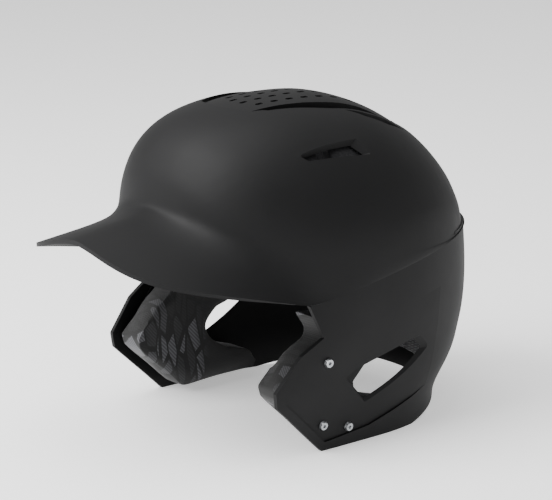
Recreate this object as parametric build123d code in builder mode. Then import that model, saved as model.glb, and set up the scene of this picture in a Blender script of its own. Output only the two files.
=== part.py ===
"""Batting helmet with two ear flaps.

Millimetres, +Z up. The front of the helmet faces -Y and the wearer's left ear is on +X.
The origin is the middle of the footprint, on the plane the ear flaps stand on.
"""
from build123d import *
import os
from collections import namedtuple
from math import atan2, cos, pi, radians, sin, sqrt

os.makedirs("parts", exist_ok=True)

# ---- Driving dimensions -------------------------------------------------------------------
wall = 3.0                 # moulded ABS shell
half_width = 107.7         # crown, at its widest
front_reach = 120.6        # crown, from the head's axis to the forehead
rear_reach = 129.5         # crown, from the head's axis to the back
crown_height = 232.0
brim_length = 62.5
brim_half_width = 100.0
brim_edge_front = 152.0    # height of the brim's edge at its tip
brim_edge_side = 106.5     # and where it meets the ear opening
brim_sweep = radians(57)   # azimuth at which the brim ends
brim_crown = 0.14          # how broadly the brim is rounded over its middle
rear_lip_height = 135.0
rear_lip_reach = 131.0
rear_roll = 1.4            # how far the rear swells past its lip
# The head's axis, behind the origin.
head_y = (front_reach + brim_length - rear_lip_reach - rear_roll) / 2

channel_depth = 5.5        # the two long channels beside the crown's spine
scoop_depth = 4.0
spine_depth = 1.6          # the spine sits a little under the crown's surface
panel_depth = 1.3          # ear panels, set in from the flap's rim

foam_gap = 5.4             # from the crown's outer surface to the foam
foam_inner = 18.0
comfort_inner = 24.5
plate_gap = 3.3            # from the lower shell's outer surface to the ear pad's plate
plate_thickness = 1.6
ear_pad_inner = 28.5
screw_radius = 1.95
screw_hole_radius = 2.2
seat_gap = 0.3             # under each screw head and nut, because the wall is curved
head_radius = 3.4

# Level sections of the lower shell, from its hem to its waist.
Station = namedtuple("Station", "height half_width front rear front_square rear_square")
hem = Station(-8, 93.0, 160, 101.5, 3.4, 2.3)
rim = Station(6, 93.6, 160, 102.5, 3.4, 2.3)
nape = Station(18, 95.2, 160, 104.0, 3.4, 2.3)
ear = Station(42, 100.0, 158, 121, 3.4, 2.3)
cheek = Station(72, 103.5, 142, 130, 3.0, 2.3)
temple = Station(102, 105.5, 123, 132.5, 2.6, 2.25)
waist = Station(142, 106.0, 121, 129.5, 2.5, 2.2)
stations = (hem, rim, nape, ear, cheek, temple, waist)


# ---- Shape of the crown -------------------------------------------------------------------
def plan_radius(azimuth, side, front, rear, front_square, rear_square):
    """Distance from the head's axis to a squared oval, front at azimuth 0."""
    reach, square = (front, front_square) if cos(azimuth) > 0 else (rear, rear_square)
    across = abs(sin(azimuth)) / side
    along = abs(cos(azimuth)) / reach
    return (across**square + along**square) ** (-1 / square)


def blend(azimuth, front, side, rear):
    """A value that turns smoothly from the front to the side to the rear."""
    end = front if cos(azimuth) > 0 else rear
    return side + (end - side) * cos(azimuth) ** 2


def bezier(points, t):
    weights = ((1 - t) ** 3, 3 * t * (1 - t) ** 2, 3 * t * t * (1 - t), t**3)
    return tuple(sum(w * p[axis] for w, p in zip(weights, points)) for axis in range(2))


def waist_radius(azimuth):
    return plan_radius(azimuth, waist.half_width + 0.6, waist.front, rear_lip_reach, 2.5, 2.2)


def soft_max(first, second, rounding):
    """The larger of two values, with the corner between them rounded."""
    return (first + second + sqrt((first - second) ** 2 + rounding**2)) / 2


def edge(azimuth):
    """Radius and height of the crown's lower edge: brim first, then the parting line."""
    brim = plan_radius(azimuth, brim_half_width, front_reach + brim_length, rear_reach, 3.6, 2.2)
    past_middle = sqrt((azimuth / brim_sweep) ** 2 + brim_crown**2) - brim_crown
    share = past_middle / (sqrt(1 + brim_crown**2) - brim_crown)
    past = max(min((azimuth - brim_sweep) / (radians(165) - brim_sweep), 1), -1)
    brim_height = brim_edge_front + (brim_edge_side - brim_edge_front) * share**0.86
    parting_height = brim_edge_side + (rear_lip_height - brim_edge_side) * sin(pi / 2 * past)
    return soft_max(brim, waist_radius(azimuth), 3), soft_max(brim_height, parting_height, 3) - 1


def radius_at(azimuth, inset):
    return plan_radius(azimuth, half_width - inset, front_reach - inset, rear_reach - inset, 2.30, 2.16)


def meridian(azimuth, t, inset, brim):
    """Radius and height along one meridian, from the lower edge at t=0 to the top at t=1."""
    azimuth = abs(azimuth)
    radius = radius_at(azimuth, inset)
    base = blend(azimuth, 167.5, 133, 126)
    top = crown_height - inset
    shoulder = base + 0.9 * blend(azimuth, 0.832, 0.617, 0.516) * (top - base)
    shoulder_radius = radius * blend(azimuth, 0.714, 0.579, 0.461)
    shoulder_reach = radius * blend(azimuth, 0.935, 0.985, 0.985)
    dome = ((radius * 0.995, base), (shoulder_reach, shoulder), (shoulder_radius, top), (0, top))
    if brim:
        edge_radius, edge_height = edge(azimuth)
        rise = base - edge_height
        flare = edge_radius - radius_at(azimuth, 0)
        turned = min(azimuth / brim_sweep, 1) ** 3
        inward, downward = inset * turned, inset * (1 - turned)
        hollow_radius = edge_radius - 0.643 * flare
        hollow_height = edge_height + 0.12 * rise + 0.106 * flare
        skirt = (
            (edge_radius - inward, edge_height - downward),
            (hollow_radius - inward, hollow_height - downward),
            (radius, edge_height + 0.489 * rise),
            dome[0],
        )
    else:
        skirt = ((radius * 1.001, 60), (radius, 85), (radius * 0.998, 110), dome[0])
    split = 0.34
    if t < split:
        return bezier(skirt, t / split)
    return bezier(dome, (t - split) / (1 - split))


def crown_spot(azimuth, out, inset=0.0, brim=True):
    """A point of the crown; out runs from 0 at the top to 1 at the lower edge."""
    radius, height = meridian(azimuth, 1 - out, inset, brim)
    return Vector(radius * sin(azimuth), head_y - radius * cos(azimuth), height)


def turn_and_reach(a, b):
    """Azimuth and reach for a and b in -1..1, front to back and side to side.

    The square of a and b is pressed into a round disc, so the surface has no pole, and the
    square's corners fall where the brim meets the ear openings.
    """
    across = b * sqrt(1 - a * a / 2)
    along = a * sqrt(1 - b * b / 2)
    turn = atan2(across, -along)
    azimuth = turn + 2 * (brim_sweep - pi / 4) * sin(turn) * abs(sin(turn))
    return azimuth, min(sqrt(across**2 + along**2), 1)


def crown_skin(inset, brim=True, count=31, reach=1.0):
    """One smooth face of the crown, moved in by inset; reach under 1 keeps only the top."""
    steps = [reach * (2 * i / (count - 1) - 1) for i in range(count)]
    grid = [[crown_spot(*turn_and_reach(a, b), inset, brim) for b in steps] for a in steps]
    return Face.make_surface_from_array_of_points(grid, tol=0.02, smoothing=(1, 1, 1), max_deg=5)


def below(face, drop):
    """Everything under a face."""
    with BuildPart() as body:
        extrude(face, amount=drop, dir=(0, 0, -1))
    return body.part


def skinned_solid(outer, inner):
    """A closed wall between two skins whose edges follow each other."""
    def order(face):
        return sorted(face.edges(), key=lambda e: round(atan2(e.center().X, e.center().Y - head_y), 3))
    rims = [Face.make_surface_from_curves(o, i) for o, i in zip(order(outer), order(inner))]
    return Solid(Shell([outer, inner] + rims))


def side_prism(points, half_length=260, rounding=0, front_of=-1000):
    """A prism along X, outlined by (distance behind the head's axis, height).

    Corners in front of front_of are rounded.
    """
    with BuildPart() as prism:
        with BuildSketch(Plane.YZ) as outline:
            with BuildLine():
                Polyline([(head_y + y, z) for y, z in points], close=True)
            make_face()
            if rounding:
                corners = [v for v in outline.vertices() if v.Y < head_y + front_of]
                fillet(corners, rounding)
        extrude(amount=half_length, both=True)
    return prism.part


def plan_prism(points, bottom=150, height=120):
    """An upright prism outlined by (x, distance behind the head's axis)."""
    with BuildPart() as prism:
        with BuildSketch(Plane.XY.offset(bottom)):
            with BuildLine():
                Polyline([(x, head_y + y) for x, y in points], close=True)
            make_face()
        extrude(amount=height)
    return prism.part


def wedge(start, end, inner=0, reach=200, bottom=60, height=200):
    """An upright prism between two azimuths, in degrees from the front."""
    def spot(radius, angle):
        return radius * sin(radians(angle)), -radius * cos(radians(angle))
    turns = [start + (end - start) * i / 6 for i in range(7)]
    points = [spot(reach, turn) for turn in turns]
    points += [spot(inner, turn) for turn in reversed(turns)] if inner else [(0, 0)]
    return plan_prism(points, bottom, height)


def section_at(height):
    """The level section at a height, turned smoothly from station to station."""
    upper = next(i for i, s in enumerate(stations) if s.height >= height and i > 0)
    low, high = stations[upper - 1], stations[upper]
    before, after = stations[max(upper - 2, 0)], stations[min(upper + 1, len(stations) - 1)]
    span = high.height - low.height
    t = (height - low.height) / span
    values = []
    for p0, p1, p2, p3 in zip(before, low, high, after):
        start = (p2 - p0) / (high.height - before.height) * span
        end = (p3 - p1) / (after.height - low.height) * span
        values.append(
            p1 * (2 * t**3 - 3 * t**2 + 1) + start * (t**3 - 2 * t**2 + t)
            + p2 * (3 * t**2 - 2 * t**3) + end * (t**3 - t**2)
        )
    return Station(height, *values[1:])


def wall_body(inset, fade=None):
    """The lower shell's outer form, moved in by inset; fade scales the inset by azimuth."""
    def spot(station, azimuth):
        depth = inset * (fade(azimuth) if fade else 1)
        radius = plan_radius(
            azimuth, station.half_width - depth, station.front - depth, station.rear - depth,
            station.front_square, station.rear_square,
        )
        return radius * sin(azimuth), head_y - radius * cos(azimuth)

    with BuildPart() as body:
        for height in range(hem.height, waist.height + 1, 15):
            station = section_at(height)
            with BuildSketch(Plane.XY.offset(height)):
                with BuildLine():
                    points = [spot(station, 2 * pi * i / 40) for i in range(40)]
                    add(Edge.make_spline(points, periodic=True, parameters=[i / 40 for i in range(41)]))
                make_face()
        loft()
    return body.part


def liner_layer(outer, inner):
    """The layer of the crown, with no brim, between two insets from its outer surface."""
    outer_body = below(crown_skin(outer, brim=False, count=21), 100)
    return outer_body - below(crown_skin(inner, brim=False, count=21), 180)


def tapered_opening(plane, outer, inner, rise, depth, rounding, through=14):
    """A bevelled opening: outer outline at rise above the plane, inner at depth below it."""
    with BuildPart() as tool:
        with BuildSketch(plane.offset(rise)) as mouth:
            with BuildLine():
                Polyline(outer, close=True)
            make_face()
            fillet(mouth.vertices(), rounding)
        with BuildSketch(plane.offset(-depth)) as throat:
            with BuildLine():
                Polyline(inner, close=True)
            make_face()
            fillet(throat.vertices(), rounding * 0.6)
        loft()
        extrude(throat.sketch, amount=through, dir=-plane.z_dir)
    return tool.part


def both_sides(shape):
    return [shape, shape.mirror(Plane.YZ)]


def save(builder, name):
    builder.part.label = name
    export_step(builder.part, f"parts/{name}.step")


# ---- Crown shell --------------------------------------------------------------------------
channel = [
    (24, -57.5), (33.2, -46), (37.5, -27), (43.5, 0), (47.5, 28), (49.4, 54.5),
    (47.4, 54.5), (36.5, 32), (32, 4), (29, -12), (26.5, -30),
]
scoop = [(46.5, 10), (53.5, 24), (57, 42), (53.5, 60), (50.5, 44), (49.5, 28)]
spine = [
    (-26.5, -58), (-14, -63), (0, -64.7), (14, -63), (26.5, -58), (32, -46), (30, -20), (33, 4),
    (37.5, 32), (48, 56), (44, 76), (22, 86), (0, 89), (-22, 86), (-44, 76), (-48, 56),
    (-37.5, 32), (-33, 4), (-30, -20), (-32, -46),
]
vent_plane = Plane(
    origin=(77, head_y - 22, 202.5), x_dir=(0.03, 1, 0.04), z_dir=(0.645, -0.047, 0.763)
)
vent_mouth = [(-33.5, 3.4), (24, 9), (35, -9), (-27, -4)]
vent_throat = [(-28.3, 1), (14.5, 3.8), (20.5, -6), (-26, -2)]


def grown(points, by):
    """A plan outline moved out from its middle by about by."""
    middle = (sum(p[0] for p in points) / len(points), sum(p[1] for p in points) / len(points))
    result = []
    for x, y in points:
        dx, dy = x - middle[0], y - middle[1]
        reach = sqrt(dx * dx + dy * dy)
        result.append((x + dx / reach * by, y + dy / reach * by))
    return result


def perforations():
    """Rows of slots through the crown's spine."""
    slots = []
    for row in range(8):
        for column in (-1.5, -0.5, 0.5, 1.5):
            x, y = column * (11 + row * 0.7), head_y - 46 + row * 12.5 + 5 * (abs(column) > 1)
            with BuildPart() as slot:
                with BuildSketch(Plane.XY.offset(crown_height - 25)):
                    with Locations((x, y)):
                        SlotOverall(6.4, 3.2, rotation=90)
                extrude(amount=40)
            slots.append(slot.part)
    return slots


def top_floor(depth):
    return below(crown_skin(depth, count=17, reach=0.62), 80)


channels = both_sides(plan_prism(channel))
scoops = both_sides(plan_prism(scoop))
bosses = both_sides(plan_prism(grown(channel, wall))) + both_sides(plan_prism(grown(scoop, wall)))
under_skin = top_floor(wall - 0.6)
boss_floor = top_floor(channel_depth + wall)
with BuildPart() as crown_shell:
    add(skinned_solid(crown_skin(0), crown_skin(wall)))
    add([(boss & under_skin) - boss_floor for boss in bosses])
    cuts = [c - top_floor(channel_depth) for c in channels] + [c - top_floor(scoop_depth) for c in scoops]
    cuts += [plan_prism(spine) - top_floor(spine_depth)]
    cuts += perforations()
    cuts += both_sides(tapered_opening(vent_plane, vent_mouth, vent_throat, 1.2, 3.4, 1.2))
    add(cuts, mode=Mode.SUBTRACT)
save(crown_shell, "crown_shell")

# ---- Lower shell --------------------------------------------------------------------------
parting = [(-46, 115), (-19.5, 122.2), (7.2, 128.2), (42.7, 132), (74, 134), (100, 134.8), (150, 135)]
flap = [
    (-63.5, 105.6), (-54.5, 83), (-72, 72.6), (-91, 49.5), (-89.5, 38.8), (-49, 0),
    (38, 0), (66, 5), (100, 12), (150, 14),
]
panel = [
    (-44.8, 80), (-66.8, 69), (-83.5, 46), (-82.3, 40), (-46.3, 6), (-7.3, 10),
    (35, 22), (70, 34), (150, 40), (150, 104), (90, 104), (51, 99.5), (9, 92.4), (-24, 85.6),
]
hole_plane = Plane(origin=(99.6, head_y + 8, 47), x_dir=(-0.075, 1, 0), z_dir=(0.982, 0.074, -0.174))
hole_mouth = [(-47, 1), (-38, 10.5), (34, 26), (48, 12.5), (-20, -25)]
hole_throat = [(-41.7, 3.6), (-31, 8.3), (19, 18.3), (28.3, 10.8), (-21.2, -16.5)]


def panel_fade(azimuth):
    turn = abs((azimuth + pi) % (2 * pi) - pi)
    share = min(max((turn - radians(98)) / radians(34), 0), 1)
    return 1 - 1.5 * share * share * (3 - 2 * share)


outer_wall = wall_body(0)
with BuildPart() as lower_shell:
    add(outer_wall)
    add(wall_body(wall), mode=Mode.SUBTRACT)
    add(side_prism(flap + [(y, z - 0.7) for y, z in reversed(parting)], 150, 5, -40), mode=Mode.INTERSECT)
    add(side_prism(panel, 150, 2.5, -40) - wall_body(panel_depth, panel_fade), mode=Mode.SUBTRACT)
    for opening in both_sides(tapered_opening(hole_plane, hole_mouth, hole_throat, 2.0, 3.6, 3)):
        add(opening, mode=Mode.SUBTRACT)

# ---- Screws that hold the ear pads --------------------------------------------------------
screw_spots = [(-50, 64.8), (-48.8, 18.6), (-25.6, 13)]      # behind the head's axis, height


def screw_plane(spot):
    """A plane on the left ear panel's surface, its normal pointing away from the head."""
    y, z = spot
    line = Axis((0, head_y + y, z), (1, 0, 0))
    surface, normal = max(outer_wall.find_intersection_points(line), key=lambda hit: hit[0].X)
    return Plane(origin=surface - normal * panel_depth, x_dir=(0, 1, 0), z_dir=normal)


screw_planes = [screw_plane(spot) for spot in screw_spots]


def along(plane, start, end, radius):
    """A round bar on a plane's normal, between two distances from the plane."""
    with BuildPart() as bar:
        with BuildSketch(plane.offset(start)):
            Circle(radius)
        extrude(amount=end - start)
    return bar.part


plate_start = plate_gap - panel_depth
plate_end = plate_start + plate_thickness
with BuildPart() as left_screws:
    for plane in screw_planes:
        with BuildSketch(plane.offset(seat_gap)):
            Circle(head_radius)
        extrude(amount=2.0, taper=18)
        with BuildSketch(plane.offset(seat_gap)):
            Circle(screw_radius)
        extrude(amount=-(plate_end + 2.6))
        with BuildSketch(plane.offset(0.9)):
            RegularPolygon(1.35, 6)
        extrude(amount=2, mode=Mode.SUBTRACT)

nut_radius, nut_depth = 5.0, 2.2
with BuildPart() as left_nuts:
    for plane in screw_planes:
        with BuildSketch(plane.offset(-plate_end - seat_gap)):
            RegularPolygon(nut_radius, 6)
            Circle(screw_radius + 0.03, mode=Mode.SUBTRACT)
        extrude(amount=-nut_depth)

with BuildPart() as drilled_shell:
    add(lower_shell.part)
    holes = [along(plane, -6, 3, screw_hole_radius) for plane in screw_planes]
    add(holes + [hole.mirror(Plane.YZ) for hole in holes], mode=Mode.SUBTRACT)
    for side in (-1, 1):
        with Locations((side * 105, head_y + 70, 142)):
            Box(50, 13, 20, mode=Mode.SUBTRACT)
save(drilled_shell, "lower_shell")

# ---- Ear pads and their plates ------------------------------------------------------------
pad_outline = [
    (-59, 101), (-51.5, 84), (-68.5, 70.5), (-88, 48.5), (-86.7, 39.8), (-48, 2.5), (19, 2.5),
    (24, 10), (19, 20), (-2, 27), (-14, 36), (-17.5, 46), (-5, 57),
    (14, 65), (24, 74), (24, 90), (12, 99),
]
plate_outline = [
    (-54, 95), (-45, 84), (-61, 67), (-79, 47), (-79, 43), (-46, 8.5), (15, 8.5),
    (17, 14), (-8, 22), (-21, 32), (-25, 46), (-13, 60), (12, 71), (18, 78), (17, 88), (9, 94),
]


def left_layer(outline, outer, inner, rounding):
    """A slab of the wall's form on the left side, between two insets."""
    return side_slab(outline, rounding) & (wall_body(outer) - wall_body(inner))


def side_slab(outline, rounding):
    with BuildPart() as slab:
        with BuildSketch(Plane.YZ) as face:
            with BuildLine():
                Polyline([(head_y + y, z) for y, z in outline], close=True)
            make_face()
            fillet(face.vertices(), rounding)
        extrude(amount=200)
    return slab.part


with BuildPart() as left_plate:
    add(left_layer(plate_outline, plate_gap, plate_gap + plate_thickness, 1.5))
    add([along(plane, -9, 3, screw_hole_radius) for plane in screw_planes], mode=Mode.SUBTRACT)

pad_start = plate_gap + plate_thickness + 0.3
with BuildPart() as left_pad:
    add(left_layer(pad_outline, pad_start, ear_pad_inner, 2.5))
    add([along(plane, -12, 3, nut_radius + 1.2) for plane in screw_planes], mode=Mode.SUBTRACT)

for side, turn in (("left", False), ("right", True)):
    for builder, name in (
        (left_screws, "ear_pad_screws"), (left_nuts, "ear_pad_nuts"),
        (left_plate, "ear_pad_plate"), (left_pad, "ear_pad"),
    ):
        with BuildPart() as piece:
            add(builder.part.mirror(Plane.YZ) if turn else builder.part)
        save(piece, f"{side}_{name}")

# ---- Foam liner ---------------------------------------------------------------------------
def upright_bar(radius):
    """A round bar on the head's axis, through the top of the crown."""
    with BuildPart() as bar:
        with BuildSketch(Plane.XY.offset(150)):
            with Locations((0, head_y)):
                Circle(radius)
        extrude(amount=120)
    return bar.part


foam_hem = [
    (-160, 143), (-100, 143), (-62, 122), (-20, 126), (40, 128),
    (90, 116), (160, 110), (160, 20), (-160, 20),
]
with BuildPart() as foam_layer:
    add(liner_layer(foam_gap, foam_inner))
    add(side_prism(foam_hem, 200), mode=Mode.SUBTRACT)
    add(bosses, mode=Mode.SUBTRACT)

crown_disc_radius = 42
foam_split = 4
foam_pieces = {
    "front_foam": (-32, 32), "left_front_foam": (36, 64), "left_side_foam": (70, 128),
    "rear_foam": (134, 226), "right_side_foam": (232, 290), "right_front_foam": (296, 324),
}
for name, (start, end) in foam_pieces.items():
    cut = foam_layer.part & wedge(start, end, crown_disc_radius + foam_split)
    with BuildPart() as piece:
        add(cut.solids().sort_by(SortBy.VOLUME)[-1])
    save(piece, name)
with BuildPart() as crown_foam:
    add(foam_layer.part & upright_bar(crown_disc_radius))
save(crown_foam, "crown_foam")

# ---- Comfort pads -------------------------------------------------------------------------
with BuildPart() as comfort_layer:
    add(liner_layer(foam_inner + 0.4, comfort_inner))


comfort_pieces = {
    "brow_pad": (-56, 56, 146, 176), "left_temple_pad": (62, 118, 130, 164),
    "rear_pad": (128, 232, 114, 150), "right_temple_pad": (242, 298, 130, 164),
}
for name, (start, end, bottom, top) in comfort_pieces.items():
    with BuildPart() as piece:
        add(comfort_layer.part & wedge(start, end, bottom=bottom, height=top - bottom))
    save(piece, name)
with BuildPart() as crown_pad:
    add(comfort_layer.part & upright_bar(crown_disc_radius - 6))
save(crown_pad, "crown_pad")

nape_slab = [(90, 26), (90, 92), (150, 92), (150, 30)]
with BuildPart() as nape_pad:
    add(wall_body(wall + 0.4))
    add(wall_body(wall + 11), mode=Mode.SUBTRACT)
    add(wedge(146, 214, bottom=0, height=200), mode=Mode.INTERSECT)
    add(side_prism(nape_slab, 120), mode=Mode.INTERSECT)
save(nape_pad, "nape_pad")
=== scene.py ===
"""A matte black batting helmet with a foam liner, cloth-covered pads and button-head screws."""

from math import cos, radians, sin

import bpy
import numpy as np
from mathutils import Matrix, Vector


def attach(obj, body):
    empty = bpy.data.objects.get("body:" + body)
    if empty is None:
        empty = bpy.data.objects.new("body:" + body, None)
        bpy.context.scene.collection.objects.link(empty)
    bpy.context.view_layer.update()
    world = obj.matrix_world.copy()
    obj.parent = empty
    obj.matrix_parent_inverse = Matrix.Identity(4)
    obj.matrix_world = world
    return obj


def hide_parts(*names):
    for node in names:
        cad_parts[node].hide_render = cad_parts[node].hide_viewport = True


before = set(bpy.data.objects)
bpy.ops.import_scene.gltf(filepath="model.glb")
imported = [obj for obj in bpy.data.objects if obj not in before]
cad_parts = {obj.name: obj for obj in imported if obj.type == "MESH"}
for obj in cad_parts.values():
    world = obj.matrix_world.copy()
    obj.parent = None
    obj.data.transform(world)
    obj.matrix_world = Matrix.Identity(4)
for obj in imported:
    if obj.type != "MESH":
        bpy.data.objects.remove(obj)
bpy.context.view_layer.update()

MM = 0.001
HEAD_Y = 26 * MM            # about where the head's axis is, behind the middle of the footprint
LOOK_AT = Vector((0, HEAD_Y, 112 * MM))
VIEW_TURN = radians(50.3)
VIEW_RISE = radians(14.3)
VIEW_DISTANCE = 1.5
LENS = 136.96               # mm, on the default 36 mm sensor
SHIFT = (-0.0264, 0.0076)   # framing only, as a share of the picture's width
WAVE = 0.31                 # a wave texture's Scale that gives one band for each unit of length
CLOTH_STEPS = 20
CLOTH_PRESSURE = 4
MERGE = 0.01 * MM


# ---- Colours and nodes -------------------------------------------------------------------
def colour(code):
    """An sRGB hex colour as linear values with full alpha."""
    parts = [int(code[i:i + 2], 16) / 255 for i in (1, 3, 5)]
    linear = [p / 12.92 if p <= 0.04045 else ((p + 0.055) / 1.055) ** 2.4 for p in parts]
    return (*linear, 1)


def add_node(material, kind, settings=None, **links):
    """Adds a node, sets its properties and inputs, and links inputs named by keyword."""
    tree = material.node_tree
    node = tree.nodes.new(kind)
    for key, value in (settings or {}).items():
        if key in node.inputs:
            node.inputs[key].default_value = value
        else:
            setattr(node, key, value)
    for key, source in links.items():
        tree.links.new(source, node.inputs[key.replace("_", " ")])
    return node


def new_material(name, settings):
    """An empty material with one shader, its surface and Object coordinates."""
    material = bpy.data.materials.new(name)
    material.use_nodes = True
    material.node_tree.nodes.clear()
    shader = add_node(material, "ShaderNodeBsdfPrincipled", settings)
    output = add_node(material, "ShaderNodeOutputMaterial")
    material.node_tree.links.new(shader.outputs["BSDF"], output.inputs["Surface"])
    place = add_node(material, "ShaderNodeTexCoord").outputs["Object"]
    return material, shader, place


def bump(material, shader, height, depth, strength):
    """Raises the surface by a height pattern, depth in metres."""
    node = add_node(material, "ShaderNodeBump", {"Distance": depth, "Strength": strength}, Height=height)
    material.node_tree.links.new(node.outputs["Normal"], shader.inputs["Normal"])


def ramp(material, value, stops, constant=False):
    """A colour ramp from (position, hex) stops."""
    node = add_node(material, "ShaderNodeValToRGB", None, Fac=value)
    node.color_ramp.interpolation = "CONSTANT" if constant else "LINEAR"
    elements = node.color_ramp.elements
    while len(elements) < len(stops):
        elements.new(0.5)
    for element, (position, code) in zip(elements, stops):
        element.position = position
        element.color = colour(code)
    return node.outputs["Color"]


# ---- Materials ----------------------------------------------------------------------------
def moulded_abs(name, light, dark, roughness):
    """Moulded ABS: a dead matt surface, so highlights are broad and a fine grain shows close up."""
    material, shader, place = new_material(name, {"Specular IOR Level": 0.22, "IOR": 1.5})
    grain = add_node(material, "ShaderNodeTexNoise", {"Scale": 1 / (0.8 * MM), "Detail": 2.0}, Vector=place)
    cloud = add_node(material, "ShaderNodeTexNoise", {"Scale": 1 / (45 * MM), "Detail": 3.0}, Vector=place)
    tone = ramp(material, cloud.outputs["Fac"], [(0.35, dark), (0.65, light)])
    material.node_tree.links.new(tone, shader.inputs["Base Color"])
    rough = add_node(
        material, "ShaderNodeMapRange",
        {"From Min": 0.3, "From Max": 0.7, "To Min": roughness - 0.03, "To Max": roughness + 0.04},
        Value=cloud.outputs["Fac"],
    )
    material.node_tree.links.new(rough.outputs["Result"], shader.inputs["Roughness"])
    bump(material, shader, grain.outputs["Fac"], 0.05 * MM, 0.25)
    return material


def zinc_steel():
    """Zinc-plated steel: bright and slightly cloudy, from the plating."""
    material, shader, place = new_material("zinc_steel", {"Metallic": 1.0})
    cloud = add_node(material, "ShaderNodeTexNoise", {"Scale": 1 / (1.5 * MM), "Detail": 3.0}, Vector=place)
    tone = ramp(material, cloud.outputs["Fac"], [(0.3, "#8d9093"), (0.7, "#c4c6c8")])
    material.node_tree.links.new(tone, shader.inputs["Base Color"])
    rough = add_node(
        material, "ShaderNodeMapRange", {"To Min": 0.25, "To Max": 0.42}, Value=cloud.outputs["Fac"],
    )
    material.node_tree.links.new(rough.outputs["Result"], shader.inputs["Roughness"])
    bump(material, shader, cloud.outputs["Fac"], 0.03 * MM, 0.3)
    return material


def closed_cell_foam():
    """Closed-cell foam: dull and dark, with a skin of fine cells."""
    material, shader, place = new_material("closed_cell_foam", {"Roughness": 0.88, "Specular IOR Level": 0.2})
    cells = add_node(material, "ShaderNodeTexVoronoi", {"Scale": 1 / (1.6 * MM)}, Vector=place)
    tone = ramp(material, cells.outputs["Distance"], [(0.0, "#1b1b1c"), (0.8, "#29292b")])
    material.node_tree.links.new(tone, shader.inputs["Base Color"])
    bump(material, shader, cells.outputs["Distance"], 0.3 * MM, 0.5)
    return material


def knit_height(material, place, pitch):
    """Crossed threads of a fine knit, drawn a little coarse so that they show."""
    across = add_node(
        material, "ShaderNodeTexWave", {"Scale": WAVE / pitch, "bands_direction": "Y"}, Vector=place,
    )
    up = add_node(
        material, "ShaderNodeTexWave", {"Scale": WAVE / pitch, "bands_direction": "Z"}, Vector=place,
    )
    return add_node(
        material, "ShaderNodeMixRGB", {"blend_type": "MULTIPLY", "Fac": 0.8},
        Color1=across.outputs["Color"], Color2=up.outputs["Color"],
    ).outputs["Color"]


def lining_cloth():
    """Brushed polyester knit: grey, with a soft sheen at its edges."""
    material, shader, place = new_material(
        "lining_cloth", {"Roughness": 0.85, "Sheen Weight": 0.25, "Sheen Roughness": 0.5},
    )
    threads = knit_height(material, place, 1.4 * MM)
    tone = ramp(material, threads, [(0.1, "#3a3a3c"), (0.9, "#6a6a6c")])
    material.node_tree.links.new(tone, shader.inputs["Base Color"])
    bump(material, shader, threads, 0.3 * MM, 0.6)
    return material


def printed_pad_cloth():
    """Printed polyester: sharp grey splinters with fine stripes on black, going over to near black towards
    the back.
    """
    material, shader, place = new_material(
        "printed_pad_cloth", {"Roughness": 0.8, "Sheen Weight": 0.15, "Sheen Roughness": 0.5},
    )
    stretch = add_node(
        material, "ShaderNodeMapping",
        {"Rotation": (0.7, 0.0, 0.0), "Scale": (0.6, 2.2, 0.7)}, Vector=place,
    ).outputs["Vector"]
    shards_per_metre = 1 / (15 * MM)
    shards = add_node(material, "ShaderNodeTexVoronoi", {"Scale": shards_per_metre}, Vector=stretch)
    gaps = add_node(
        material, "ShaderNodeTexVoronoi",
        {"feature": "DISTANCE_TO_EDGE", "Scale": shards_per_metre}, Vector=stretch,
    )
    outline = ramp(material, gaps.outputs["Distance"], [(0.0, "#1c1c1c"), (0.09, "#ffffff")], constant=True)
    pick = add_node(material, "ShaderNodeSeparateColor", None, Color=shards.outputs["Color"])
    print_tone = ramp(
        material, pick.outputs["Red"],
        [(0.0, "#131314"), (0.35, "#242426"), (0.6, "#38383b"), (0.85, "#525256")], constant=True,
    )
    stripes = add_node(
        material, "ShaderNodeTexWave",
        {"Scale": WAVE / (1.3 * MM), "bands_direction": "DIAGONAL"}, Vector=place,
    )
    hatch = ramp(material, stripes.outputs["Fac"], [(0.35, "#b0b0b0"), (0.6, "#ffffff")])
    hatched = add_node(
        material, "ShaderNodeMixRGB", {"blend_type": "MULTIPLY", "Fac": 1.0}, Color1=print_tone, Color2=hatch,
    )
    outlined = add_node(
        material, "ShaderNodeMixRGB", {"blend_type": "MULTIPLY", "Fac": 1.0},
        Color1=hatched.outputs["Color"], Color2=outline,
    )
    # Darker towards the back: over 12 mm along y the colour blends into near black #0f0f10.
    spot = add_node(material, "ShaderNodeSeparateXYZ", None, Vector=place)
    fade = add_node(
        material, "ShaderNodeMapRange",
        {"From Min": HEAD_Y - 34 * MM, "From Max": HEAD_Y - 22 * MM}, Value=spot.outputs["Y"],
    )
    tone = add_node(
        material, "ShaderNodeMixRGB", {"Color2": colour("#0f0f10")},
        Fac=fade.outputs["Result"], Color1=outlined.outputs["Color"],
    )
    material.node_tree.links.new(tone.outputs["Color"], shader.inputs["Base Color"])
    bump(material, shader, knit_height(material, place, 1.1 * MM), 0.2 * MM, 0.5)
    return material


SHELL_COAT = moulded_abs("matt_abs_shell", "#0b0b0c", "#080809", 0.6)
PLATE_COAT = moulded_abs("plain_abs_plate", "#0a0a0b", "#080808", 0.65)
STEEL = zinc_steel()
FOAM = closed_cell_foam()
LINING = lining_cloth()
PAD_CLOTH = printed_pad_cloth()


def dress(node, material):
    """Gives a CAD node its finish."""
    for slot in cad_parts[node].material_slots:
        slot.material = material


for shell in ("crown_shell", "lower_shell"):
    dress(shell, SHELL_COAT)
for side in ("left", "right"):
    dress(f"{side}_ear_pad_plate", PLATE_COAT)
    dress(f"{side}_ear_pad_screws", STEEL)
    dress(f"{side}_ear_pad_nuts", STEEL)


# ---- Pads ---------------------------------------------------------------------------------
def choose(piece):
    bpy.ops.object.select_all(action="DESELECT")
    piece.select_set(True)
    bpy.context.view_layer.objects.active = piece


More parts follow.
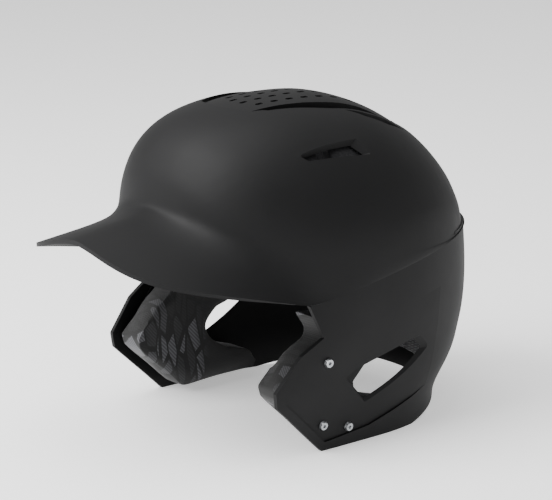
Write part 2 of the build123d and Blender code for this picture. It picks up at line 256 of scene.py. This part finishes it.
def pad_form(node, name, voxel, shrink):
    """A copy of a pad's solid, merged, rebuilt in even faces and drawn in a little."""
    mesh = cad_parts[node].data.copy()
    piece = bpy.data.objects.new(name, mesh)
    bpy.context.scene.collection.objects.link(piece)
    choose(piece)
    bpy.ops.object.mode_set(mode="EDIT")
    bpy.ops.mesh.select_all(action="SELECT")
    bpy.ops.mesh.remove_doubles(threshold=MERGE)
    bpy.ops.object.mode_set(mode="OBJECT")
    mesh.remesh_voxel_size = voxel
    bpy.ops.object.voxel_remesh()
    draw_in = piece.modifiers.new("draw_in", "DISPLACE")
    draw_in.strength = -shrink
    draw_in.mid_level = 0
    bpy.ops.object.modifier_apply(modifier="draw_in")
    return piece


def places(piece):
    spots = np.empty(len(piece.data.vertices) * 3)
    piece.data.vertices.foreach_get("co", spots)
    return spots.reshape(-1, 3)


def swell(piece, cap):
    """Fills the cover: cloth under pressure, no point moving further than cap."""
    start = places(piece)
    cloth = piece.modifiers.new("cover", "CLOTH")
    cloth.settings.use_pressure = True
    cloth.settings.uniform_pressure_force = CLOTH_PRESSURE
    cloth.settings.effector_weights.gravity = 0
    for step in range(1, CLOTH_STEPS + 1):
        bpy.context.scene.frame_set(step)
    choose(piece)
    bpy.ops.object.modifier_apply(modifier="cover")
    bpy.context.scene.frame_set(1)
    move = places(piece) - start
    length = np.linalg.norm(move, axis=1, keepdims=True)
    move *= np.minimum(1, cap / np.maximum(length, 1e-9))
    piece.data.vertices.foreach_set("co", (start + move).ravel())
    piece.data.update()


def soften(piece, rounds):
    """Rounds the edges that the solid left sharp, then adds one subdivision."""
    ease = piece.modifiers.new("ease", "SMOOTH")
    ease.iterations = rounds
    fine = piece.modifiers.new("fine", "SUBSURF")
    fine.levels = fine.render_levels = 1
    choose(piece)
    for name in ("ease", "fine"):
        bpy.ops.object.modifier_apply(modifier=name)
    bpy.ops.object.shade_smooth()


def make_pad(node, material, voxel=3.5 * MM, shrink=1.2 * MM, cap=2.0 * MM, rounds=3):
    piece = pad_form(node, f"{node}_cover", voxel, shrink)
    swell(piece, cap)
    soften(piece, rounds)
    piece.data.materials.clear()
    piece.data.materials.append(material)
    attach(piece, "root")
    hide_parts(node)


for side in ("left", "right"):
    make_pad(f"{side}_ear_pad", PAD_CLOTH, shrink=2.2 * MM, cap=3.5 * MM)
for node in ("brow_pad", "left_temple_pad", "right_temple_pad", "rear_pad", "crown_pad", "nape_pad"):
    make_pad(node, LINING, voxel=2.5 * MM, shrink=0.8 * MM, cap=1.5 * MM)
for node in (
    "front_foam", "left_front_foam", "left_side_foam", "rear_foam",
    "right_side_foam", "right_front_foam", "crown_foam",
):
    make_pad(node, FOAM, shrink=0.6 * MM, cap=0.8 * MM, rounds=2)


# ---- Studio -------------------------------------------------------------------------------
def studio_floor():
    bpy.ops.object.select_all(action="DESELECT")
    bpy.ops.mesh.primitive_plane_add(size=12, location=(0, 0, 0))
    floor = bpy.context.object
    floor.name = "floor"
    material, shader, place = new_material(
        "floor_paper", {
            "Roughness": 0.9, "Specular IOR Level": 0.1,
            "Emission Color": colour("#f5f5f5"), "Emission Strength": 0.55,
        },
    )
    fibre = add_node(material, "ShaderNodeTexNoise", {"Scale": 1 / (4 * MM)}, Vector=place)
    tone = ramp(material, fibre.outputs["Fac"], [(0.3, "#f3f3f3"), (0.7, "#f6f6f6")])
    material.node_tree.links.new(tone, shader.inputs["Base Color"])
    floor.data.materials.append(material)


def soft_light(name, direction, distance, size, watts):
    data = bpy.data.lights.new(name, "AREA")
    data.size = size
    data.energy = watts
    light = bpy.data.objects.new(name, data)
    bpy.context.scene.collection.objects.link(light)
    light.location = LOOK_AT + Vector(direction).normalized() * distance
    light.rotation_euler = (LOOK_AT - light.location).to_track_quat("-Z", "Y").to_euler()


def studio_camera():
    data = bpy.data.cameras.new("camera")
    data.lens = LENS
    data.shift_x, data.shift_y = SHIFT
    camera = bpy.data.objects.new("camera", data)
    bpy.context.scene.collection.objects.link(camera)
    way = Vector((sin(VIEW_TURN) * cos(VIEW_RISE), -cos(VIEW_TURN) * cos(VIEW_RISE), sin(VIEW_RISE)))
    camera.location = LOOK_AT + way * VIEW_DISTANCE
    camera.rotation_euler = (-way).to_track_quat("-Z", "Y").to_euler()
    bpy.context.scene.camera = camera


studio_floor()
soft_light("key", (-0.35, -1.0, 0.9), 1.5, 1.2, 46)
soft_light("top", (-0.1, -0.1, 1.0), 1.8, 1.6, 22)
studio_camera()
world = bpy.data.worlds.new("studio")
world.use_nodes = True
world.node_tree.nodes["Background"].inputs["Color"].default_value = colour("#f5f5f5")
world.node_tree.nodes["Background"].inputs["Strength"].default_value = 0.7
bpy.context.scene.world = world
